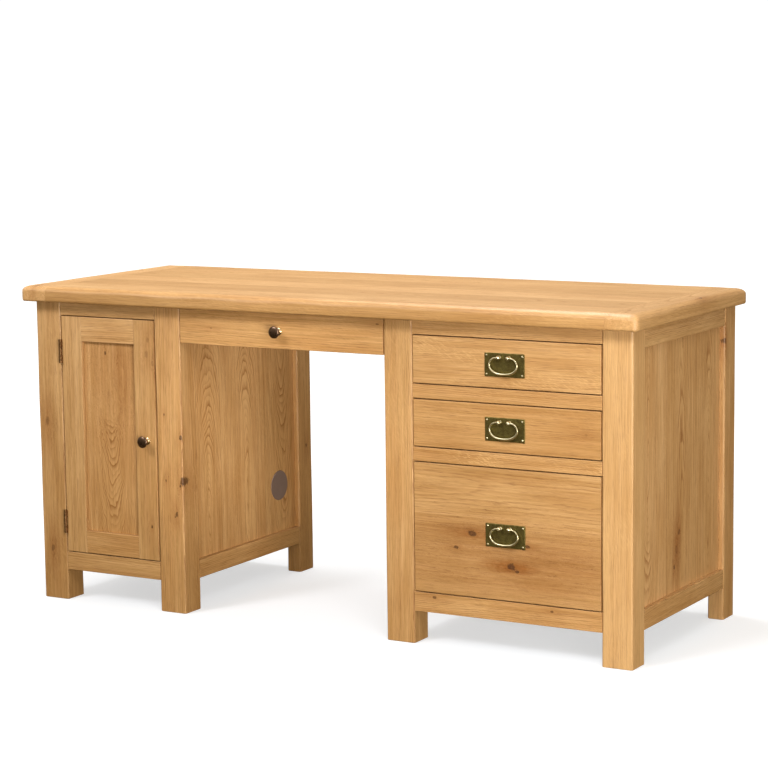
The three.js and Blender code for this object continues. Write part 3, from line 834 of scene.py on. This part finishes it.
def end_board(name, side, seed, tone, knots):
    """A breadboard end: worn over along its outer edge and both ends, most of all at its corners.

    side is 1 for the right end and -1 for the left one.
    """
    node = f"top_end_{name}"
    lo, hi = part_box(node)
    joint = lo.x if side > 0 else hi.x
    width, depth = hi.x - lo.x, hi.y - lo.y
    corner = 13 * MM  # radius of the board's corners, seen from above
    calm = 60 * MM  # how far in the wear of an end reaches
    steps = 8
    eased = [(t, arris_rise(t)) for t in ARRIS_STEPS]
    end_edge = worn_edge(joint, FRONT_WEAR), worn_edge(joint, BACK_WEAR)

    def drop(t, inward, down):
        """How far a worn edge has fallen at a distance t in from it."""
        return down * (1 - sqrt(1 - (1 - min(t / inward, 1.0)) ** 2))

    def slice_at(t, which):
        """One ring across the board at a distance t from its front (0) or back (1) end."""
        inward, down = end_edge[which]
        y = lo.y + t if which == 0 else hi.y - t
        side_in, side_down = (0.85 * size for size in worn_edge(y, seed))
        bulge = corner - sqrt(max(corner ** 2 - max(corner - t, 0.0) ** 2, 0.0))
        reach = width - min(bulge, corner)
        side_in *= 1 + 0.55 * exp(-t / (40 * MM))
        rise = arris_rise(t)
        ring = [(0.0, lo.z + rise)]
        ring += [(reach - s, lo.z + max(rise, up)) for s, up in eased]
        places = [side_in * (1 - cos(k / steps * pi / 2)) for k in range(steps + 1)]
        places += [places[-1] + (reach - places[-1]) * k / 3 for k in (1, 2, 3)]
        for s in places:
            blend = min(1.0, (reach - s) / (45 * MM))
            blend = blend * blend * (3 - 2 * blend)
            here = drop(t, inward * (1 + 0.35 * blend), down * (1 - 0.12 * blend))
            ring.append((reach - s, hi.z - hypot(here, drop(s, side_in, side_down))))
        return [(joint + side * x, y, z) for x, z in ring]

    inward = max(edge[0] for edge in end_edge) * 1.35
    marks = [t * MM for t in (0, 0.3, 0.9, 1.8, 3, 4.5, 6)]
    marks += [inward * (1 - cos(k / 9 * pi / 2)) for k in range(4, 10)]
    marks += [inward + (calm - inward) * k / 3 for k in (1, 2, 3)]
    between = [calm + (depth - 2 * calm) * k / 14 for k in range(1, 14)]
    rings = [slice_at(t, 0) for t in marks]
    rings += [slice_at(t, 0) if t < depth / 2 else slice_at(depth - t, 1) for t in between]
    rings += [slice_at(t, 1) for t in reversed(marks)]
    made = loft(f"desktop_end_{name}", rings)
    material = oak(f"oak_{node}", lo, hi, Y, Z, seed, cut="flat", ring=3.0, wave=12.0,
                   contrast=0.6, tone=tone, pale=0.08, knots=knots)
    place(made, node, material, "oak", (node,))


def desktop():
    field_board()
    end_board("right", 1, 21, 0.96, [(0.86, 0.588, 4.5, 1.0, 1.0, 0.5)])
    end_board("left", -1, 33, 1.06, [(0.5, 0.03, 4.0, 0.5, 1.0, 0.5)])


# ---- metalwork
def cabinet_knob(node):
    """A turned knob: a bright waisted neck on a rosette, and a dark shallow-domed head."""
    lo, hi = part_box(node)
    centre = ((lo.x + hi.x) / 2, hi.y, (lo.z + hi.z) / 2)
    neck = [(0, 0), (8.6, 0), (9.0, -0.4), (9.0, -1.3), (8.5, -1.9), (6.6, -2.6), (5.2, -4.2),
            (4.6, -6.5), (4.4, -9.5), (4.7, -12.5), (5.6, -15), (7.4, -17.2), (9.8, -18.4),
            (11.4, -18.9), (11.4, -19.4), (0, -19.4)]
    head = [(0, -18.4), (10.9, -18.7), (12.9, -19.1), (13.8, -19.8), (14.2, -20.7), (14.1, -21.5),
            (13.6, -22.4), (12.6, -23.2), (11.0, -24.0), (8.6, -24.6), (5.6, -25.0), (2.6, -25.15),
            (0, -25.2)]
    place(turned(f"{node}_neck", neck, centre, Y), node, NECK, "bronze", (node,))
    place(turned(f"{node}_head", head, centre, Y), node, BRONZE, "bronze")


def sweep(name, path, radii):
    """A bar along a path of points with its own radius at each; its ends are rounded off."""
    rings = []
    last = len(path) - 1
    side = Vector((0, 1, 0))
    # How far past a point each ring of an end lies, and how wide it is, as shares of the radius.
    tip = ((0.0, 1.0), (0.5, 0.8), (0.85, 0.35))
    shares = {0: [(-pull, share) for pull, share in reversed(tip)], last: tip}
    for k, p in enumerate(path):
        ahead = (path[min(k + 1, last)] - path[max(k - 1, 0)]).normalized()
        up = ahead.cross(side).normalized()
        for pull, share in shares.get(k, tip[:1]):
            centre = p + ahead * pull * radii[k]
            rings.append([centre + (side * cos(t) + up * sin(t)) * radii[k] * share
                          for t in circle(16)])
    return loft(name, rings)


def smooth_path(points):
    """A Catmull-Rom curve through the points."""
    steps = 6
    out = []
    ends = [points[0] * 2 - points[1], *points, points[-1] * 2 - points[-2]]
    for k in range(len(points) - 1):
        p0, p1, p2, p3 = ends[k:k + 4]
        for j in range(steps):
            t = j / steps
            out.append(0.5 * (2 * p1 + (p2 - p0) * t + (2 * p0 - 5 * p1 + 4 * p2 - p3) * t * t
                              + (3 * p1 - p0 - 3 * p2 + p3) * t ** 3))
    out.append(points[-1])
    return out


PLATE_THICK = 2.2
PIN_INSET = 5.5 * MM  # from the plate's edges to a pin's middle
POST_APART = 12 * MM  # from the handle's middle to each post
BALL = 5.0
BAIL_THIN, BAIL_THICKER = 1.85, 0.8


def handle(n):
    """Antique plate with four dome-headed pins and two ball posts, and the C-shaped bail."""
    plate_node, bail_node = f"drawer_{n}_plate", f"drawer_{n}_bail"
    lo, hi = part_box(plate_node)
    pivot = pivots[f"bail_{n}"]
    w, h = hi.x - lo.x, hi.z - lo.z
    face = hi.y - PLATE_THICK * MM
    centre = Vector(((lo.x + hi.x) / 2, hi.y, (lo.z + hi.z) / 2))
    rings = []
    for depth, inset in ((0.0, 0.0), (-1.2, 0.0), (-1.8, 0.25), (-2.1, 0.8), (-PLATE_THICK, 1.5)):
        outline = rounded(w - 2 * inset * MM, h - 2 * inset * MM, [1.6 * MM] * 4)
        rings.append([(centre.x + u, centre.y + depth * MM, centre.z + v) for u, v in outline])
    place(loft(f"handle_{n}_plate", rings), plate_node, PLATE, "antique_brass", (plate_node,))

    posts = []
    dome = [(0, 0.6), (2.5, 0.6), (2.6, 0), (2.5, -0.5), (2.1, -1.2), (1.3, -1.8), (0.5, -2.05),
            (0, -2.1)]
    for sx in (-1, 1):
        for sz in (-1, 1):
            at = (centre.x + sx * (w / 2 - PIN_INSET), face, centre.z + sz * (h / 2 - PIN_INSET))
            posts.append(turned("pin", dome, at, Y, 20))
    reach = (face - pivot.y) / MM
    stem = [(0, reach + 0.5), (4.4, reach + 0.5), (4.4, reach - 0.5), (3.9, reach - 1.1),
            (3.0, reach - 1.7), (2.8, 4.4), (3.4, 3.7)]
    globe = [(BALL * sin(t), BALL * cos(t))
             for t in (radians(45 + 135 * k / 9) for k in range(10))]
    for sx in (-1, 1):
        at = (pivot.x + sx * POST_APART, pivot.y, pivot.z)
        posts.append(turned("post", stem + globe, at, Y, 28))
    place(join(f"handle_{n}_posts", posts), plate_node, WIRE, "antique_brass")

    half = [(13.5, 0), (18.5, 0.0), (24.5, -1.6), (30.0, -5.8), (33.4, -11.8), (34.0, -18.4),
            (30.6, -25.8), (24.0, -31.4), (14.0, -35.0), (0.0, -36.1)]
    points = [Vector((-x, 0, z)) for x, z in half] + [Vector((x, 0, z)) for x, z in half[-2::-1]]
    path = [pivot + p * MM for p in smooth_path(points)]
    # The bail thickens towards its grip.
    low = [min(1.0, max(0.0, (pivot.z - p.z) / (34 * MM))) for p in path]
    radii = [(BAIL_THIN + BAIL_THICKER * share ** 1.2) * MM for share in low]
    place(sweep(f"handle_{n}_bail", path, radii), bail_node, WIRE, "bail_brass", (bail_node,))


def hinge(level):
    """A butt hinge whose barrel stands proud: three knuckles and two thin leaves."""
    frame_node, door_node = f"hinge_{level}_frame_leaf", f"hinge_{level}_door_leaf"
    frame_lo, frame_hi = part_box(frame_node)
    door_lo, door_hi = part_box(door_node)
    x, y = pivots["door"].xy
    z0, z1 = door_lo.z, door_hi.z
    span = (z1 - z0) / 3
    radius, crown = 3.8, 0.35
    slack, thin, barrel = 0.15 * MM, 0.7 * MM, 5 * MM
    door_x, frame_x = (door_hi.x - thin, door_hi.x), (frame_lo.x, frame_lo.x + thin)

    def knuckle(a, b):
        length = (b - a) / MM
        outline = [(0, 0), (radius - crown, 0), (radius - 0.1, 0.3 * crown), (radius, crown),
                   (radius, length - crown), (radius - 0.1, length - 0.3 * crown),
                   (radius - crown, length), (0, length)]
        return turned("knuckle", outline, (x, y, a), Z, 28)

    def leaf(xs, front, back, a, b):
        return board_mesh("leaf", (xs[0], front, a), (xs[1], back, b), Z, 0.2, 0.2, 0.0)

    a, b = z0 + span, z1 - span
    moving = [knuckle(z0, a - slack), knuckle(b + slack, z1),
              leaf(door_x, y, door_hi.y, z0, a - slack), leaf(door_x, y, door_hi.y, b + slack, z1),
              leaf(door_x, y + barrel, door_hi.y, a - slack, b + slack)]
    place(join(f"hinge_{level}_door_side", moving), door_node, HINGE, "bronze", (door_node,))
    fixed = [knuckle(a + slack, b - slack), leaf(frame_x, y, frame_hi.y, a + slack, b - slack),
             leaf(frame_x, y + barrel, frame_hi.y, z0, z1)]
    place(join(f"hinge_{level}_frame_side", fixed), frame_node, HINGE, "bronze", (frame_node,))


def runners():
    """Ball-bearing runners: the fixed channel, and the member that travels on the tray."""
    channel = [(0, 0), (12, 0), (12, 5), (10.6, 5), (10.6, 1.4), (1.4, 1.4), (1.4, 33.6),
               (10.6, 33.6), (10.6, 30), (12, 30), (12, 35), (0, 35)]
    member = [(3.4, 8), (11.8, 8), (11.8, 10), (5.2, 11), (5.2, 24), (11.8, 25), (11.8, 27),
              (3.4, 27)]
    for side, sign in (("left", 1), ("right", -1)):
        node = f"tray_runner_{side}"
        lo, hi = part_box(node)
        back = lo.x if sign > 0 else hi.x

        def bar(name, section, y0, y1):
            return loft(name, [[(back + sign * u * MM, y, lo.z + v * MM) for u, v in section]
                               for y in (y0, y1)])

        place(bar(f"{node}_channel", channel, lo.y, hi.y), node, STEEL, "runner_steel", (node,))
        place(bar(f"{node}_member", member, lo.y - 36 * MM, hi.y - 22 * MM), "tray", STEEL,
              "runner_steel")


def flap_hinge():
    """A piano hinge: knuckles all along it, and two thin leaves."""
    node = "tray_flap_hinge"
    lo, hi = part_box(node)
    _, y, z = pivots["tray_flap"]
    count = 25
    leaf = 1.2 * MM
    pitch = (hi.x - lo.x) / count
    length = pitch / MM - 0.3
    outline = [(0, 0), (2.2, 0), (2.5, 0.3), (2.5, length - 0.3), (2.2, length), (0, length)]
    parts = [turned("knuckle", outline, (lo.x + k * pitch, y, z), X, 16) for k in range(count)]
    parts.append(board_mesh("leaf", (lo.x, y, hi.z - leaf), hi, X, 0.3, 0.2, 0))
    parts.append(board_mesh("leaf", (lo.x, y, z), (hi.x, y + leaf, hi.z - 0.2 * MM), X,
                            0.3, 0.2, 0))
    place(join("tray_piano_hinge", parts), node, STEEL, "runner_steel", (node,))


# ---- stage
def white_floor(scene):
    """A floor that shines white to the camera, more so further off, but lights the desk little."""
    half = 30.0
    mesh = bpy.data.meshes.new("floor")
    mesh.from_pydata([(-half, -half, 0), (half, -half, 0), (half, half, 0), (-half, half, 0)], [],
                     [(0, 1, 2, 3)])
    floor = bpy.data.objects.new("floor", mesh)
    scene.collection.objects.link(floor)
    material, net, shader = principled("floor_white", roughness=0.9, specular_ior_level=0.0)
    shader.inputs["Emission Color"].default_value = (1, 1, 1, 1)
    seen = net.node("LightPath").outputs["Is Camera Ray"]
    net.put(shader.inputs["Base Color"],
            net.join(*(net.linear(seen, shown - bounce, bounce)
                       for shown, bounce in ((0.48, 0.09), (0.5, 0.075), (0.538, 0.035)))))
    away = net.vector("LENGTH", net.node("TexCoord").outputs["Object"])
    away = net.ramp(net.math("DIVIDE", away, 5.0), [(0.24, 0.6), (0.6, 0.9)])
    net.put(shader.inputs["Emission Strength"], net.times(seen, away))
    mesh.materials.append(material)


def white_surround(scene):
    """White to the camera, and a dimmer, warmer light to everything else."""
    world = bpy.data.worlds.new("surround")
    scene.world = world
    world.use_nodes = True
    world.node_tree.nodes.clear()
    net = Net(world.node_tree)
    cast, seen = (net.node("Background", color, strength).outputs[0]
                  for color, strength in (((1.0, 0.88, 0.68, 1), 0.45), ((1, 1, 1, 1), 1.05)))
    is_seen = net.node("LightPath").outputs["Is Camera Ray"]
    both = net.node("MixShader", is_seen, cast, seen)
    net.node("OutputWorld", both.outputs[0])


def studio():
    """White floor and surround; a high soft key from the front left, an overhead lamp and fills."""
    scene = bpy.context.scene
    scene.view_settings.view_transform = "Standard"
    white_floor(scene)
    white_surround(scene)

    def lamp(kind, name, at, aim, energy, **settings):
        light = bpy.data.lights.new(name, kind)
        light.energy = energy
        for key, value in settings.items():
            setattr(light, key, value)
        made = bpy.data.objects.new(name, light)
        made.location = at
        made.rotation_mode = "QUATERNION"
        made.rotation_quaternion = (Vector(aim) - Vector(at)).to_track_quat("-Z", "Y")
        scene.collection.objects.link(made)

    lamp("SUN", "key", (-1.2, -2.8, 2.7), (0, 0, 0), 1.25, angle=radians(14))
    for name, at, aim, energy, size in (
            ("overhead", (-0.3, 0.5, 3.0), (0, 0.0, 0.7), 52, 1.0),
            ("near_right", (1.3, -1.6, 1.9), (0.6, 0, 0.55), 16.5, 0.8),
            ("near_left", (-0.9, -1.1, 1.55), (-0.6, -0.3, 0.7), 4, 0.5),
            ("far_left", (-2.5, 0.2, 1.2), (-0.6, 0, 0.75), 8, 1.2)):
        lamp("AREA", name, at, aim, energy, shape="SQUARE", size=size)
    lamp("AREA", "low_right", (2.6, -2.4, 0.45), (0.3, 0, 0.4), 84, color=(0.96, 0.93, 0.87),
         shape="RECTANGLE", size=1.6, size_y=0.6)
    lamp("SPOT", "kneehole", (1.0, -1.9, 0.5), (-0.385, 0.12, 0.42), 105, color=(1.0, 0.97, 0.88),
         spot_size=radians(18), spot_blend=0.7, shadow_soft_size=0.15)


def camera():
    """The view: from the front right, a little above the desktop, with a long lens."""
    azimuth, elevation, roll = map(radians, (29.923, 7.894, 0.716))
    data = bpy.data.cameras.new("view")
    data.sensor_width = 36
    data.lens = 111.61
    data.clip_end = 100
    made = bpy.data.objects.new("view", data)
    made.matrix_world = (
        Matrix.Translation((2.8405, -4.8992, 1.3298)) @ Matrix.Rotation(azimuth, 4, "Z")
        @ Matrix.Rotation(pi / 2 - elevation, 4, "X") @ Matrix.Rotation(-roll, 4, "Z"))
    bpy.context.scene.collection.objects.link(made)
    bpy.context.scene.camera = made


camera()
studio()
desktop()
legs()
side_frames()
front_rails()
web_frames()
linings()
door()
drawer_fronts()
drawer_boxes()
tray()
for tag in ("door", "tray"):
    cabinet_knob(f"{tag}_knob")
for number in (1, 2, 3):
    handle(number)
for tag in ("upper", "lower"):
    hinge(tag)
runners()
flap_hinge()
